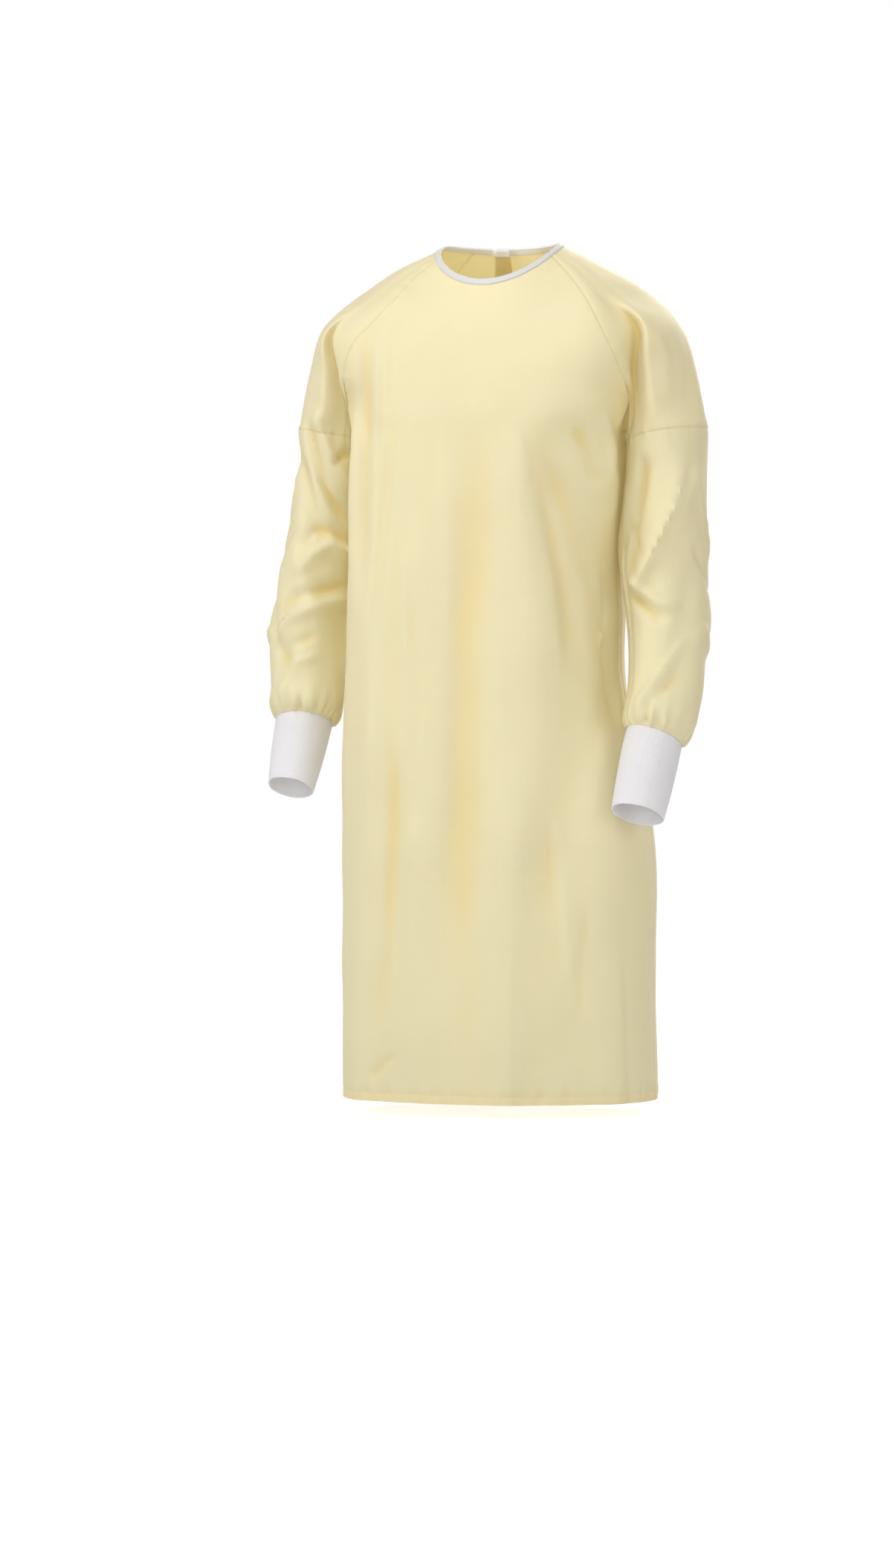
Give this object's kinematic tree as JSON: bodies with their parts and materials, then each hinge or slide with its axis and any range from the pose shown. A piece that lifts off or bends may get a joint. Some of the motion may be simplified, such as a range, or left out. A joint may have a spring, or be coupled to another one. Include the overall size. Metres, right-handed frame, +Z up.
{
  "type": "isolation gown",
  "caption": "Long-sleeved isolation gown in thin woven cloth, filled out as worn, with raglan sleeves, rib knit cuffs and a bound round neck.",
  "frame": {"origin": "middle of the neck opening at the height of the side neck points, where the wearer's neck and shoulders hold the gown up", "axes": "+Z up along the hanging length, -Y out of the front, +X to the wearer's left"},
  "size_m": [0.5881, 0.3114, 1.1128],
  "materials": {
    "gown_cloth": "matte",
    "white_knit": "matte",
    "stud_plastic": "satin"
  },
  "bodies": {
    "root": {"front": "gown_cloth", "back_left": "gown_cloth", "back_right": "gown_cloth", "sleeve_upper_left": "gown_cloth", "sleeve_upper_right": "gown_cloth", "sleeve_lower_left": "gown_cloth", "sleeve_lower_right": "gown_cloth", "cuff_left": "white_knit", "cuff_right": "white_knit", "neck_binding": "white_knit", "stud_1": "stud_plastic", "stud_2": "stud_plastic", "stud_3": "stud_plastic"}
  },
  "joints": []
}
